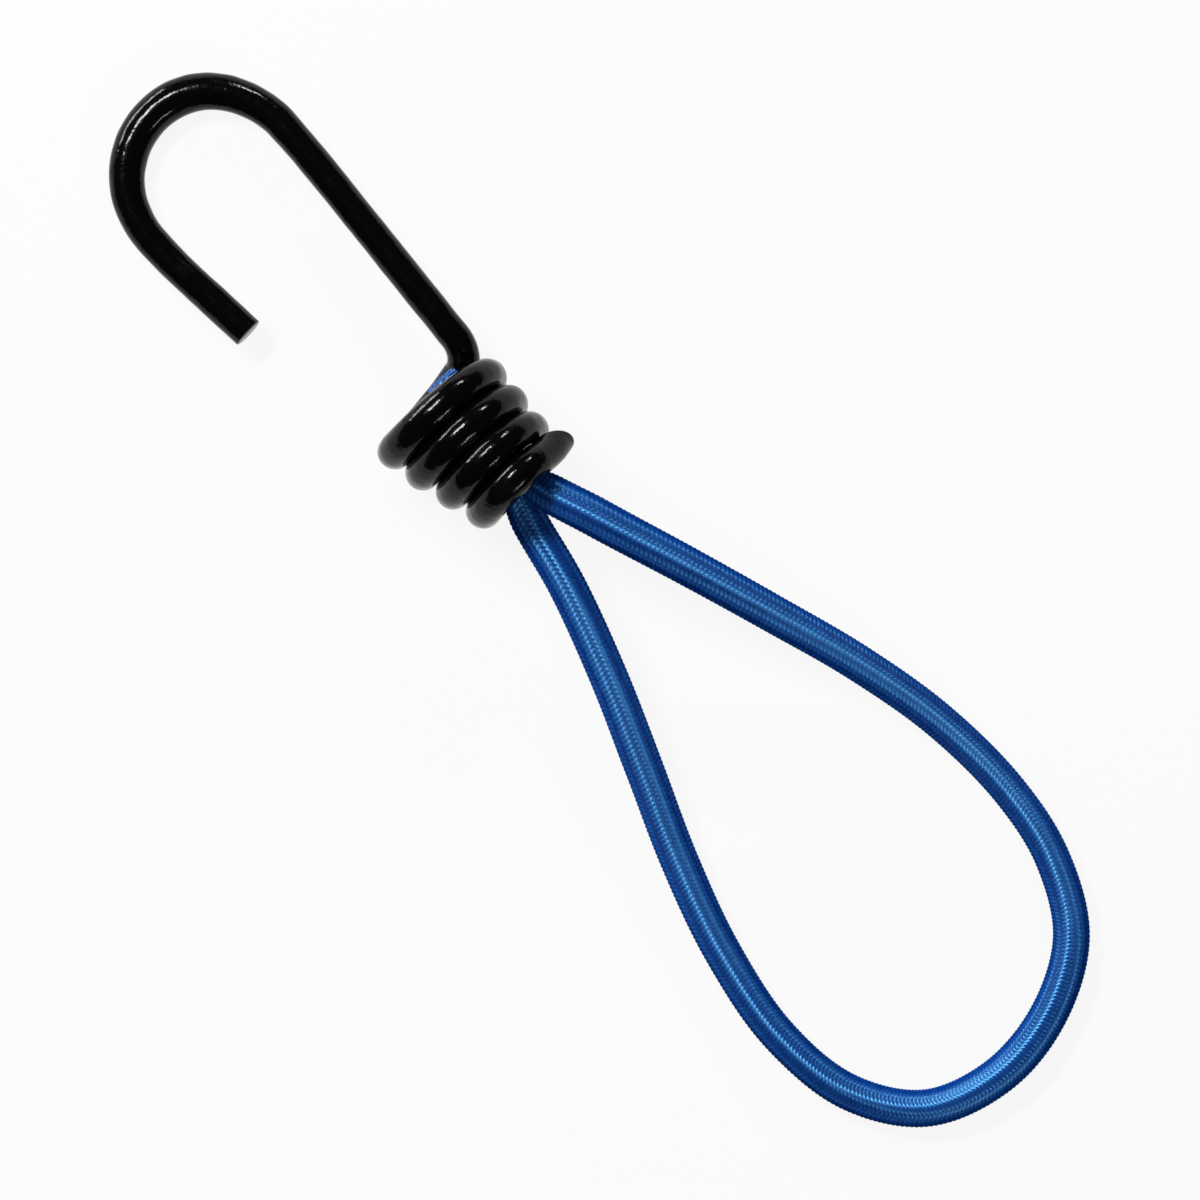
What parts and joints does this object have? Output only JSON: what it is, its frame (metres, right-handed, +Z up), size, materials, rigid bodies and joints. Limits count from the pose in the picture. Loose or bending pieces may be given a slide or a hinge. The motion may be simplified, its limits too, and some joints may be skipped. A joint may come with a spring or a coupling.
{
  "type": "bungee cord",
  "caption": "Elastic cord loop with a black coated wire hook: the hook's tapered coil grips both cord ends, and the braided loop swings and stretches to hold a load.",
  "frame": {"origin": "on the surface that the part lies on, in the flat under the first turn of the hook's coil", "axes": "+X from the hook towards the far end of the loop, +Y towards the hook's shank side, +Z up from the surface"},
  "size_m": [0.2114, 0.0595, 0.0252],
  "materials": {
    "steel_wire": "drawn steel wire, wholly inside its coating",
    "black_coating": "smooth glossy black plastic coating",
    "blue_braid": "blue textile braid with a soft sheen",
    "latex_rubber": "matt off-white natural rubber"
  },
  "bodies": {
    "hook": {"hook_wire": "steel_wire", "hook_coating": "black_coating"},
    "legs": {"cord_cover_right_leg": "blue_braid", "cord_cover_left_leg": "blue_braid"},
    "bight": {"cord_cover_bight": "blue_braid", "rubber_strand_01": "latex_rubber", "rubber_strand_02": "latex_rubber", "rubber_strand_03": "latex_rubber", "rubber_strand_04": "latex_rubber", "rubber_strand_05": "latex_rubber", "rubber_strand_06": "latex_rubber", "rubber_strand_07": "latex_rubber", "rubber_strand_08": "latex_rubber", "rubber_strand_09": "latex_rubber", "rubber_strand_10": "latex_rubber", "rubber_strand_11": "latex_rubber", "rubber_strand_12": "latex_rubber", "rubber_strand_13": "latex_rubber", "rubber_strand_14": "latex_rubber", "rubber_strand_15": "latex_rubber", "rubber_strand_16": "latex_rubber", "rubber_strand_17": "latex_rubber", "rubber_strand_18": "latex_rubber", "rubber_strand_19": "latex_rubber"}
  },
  "joints": [
    {"name": "loop_swing", "type": "hinge", "parent": "hook", "child": "legs", "pos_m": [0.0335, 0.0044, 0.0125], "axis": [0, 0, 1], "range_deg": [-45, 45], "stiffness_Nm_per_rad": 0.01, "deforming": ["cord_cover_right_leg", "cord_cover_left_leg"]},
    {"name": "loop_stretch", "type": "slide", "parent": "legs", "child": "bight", "axis": [1, 0, 0], "range_m": [0, 0.1], "stiffness_N_per_m": 1200, "deforming": ["cord_cover_bight", "rubber_strand_01", "rubber_strand_02", "rubber_strand_03", "rubber_strand_04", "rubber_strand_05", "rubber_strand_06", "rubber_strand_07", "rubber_strand_08", "rubber_strand_09", "rubber_strand_10", "rubber_strand_11", "rubber_strand_12", "rubber_strand_13", "rubber_strand_14", "rubber_strand_15", "rubber_strand_16", "rubber_strand_17", "rubber_strand_18", "rubber_strand_19"]}
  ]
}
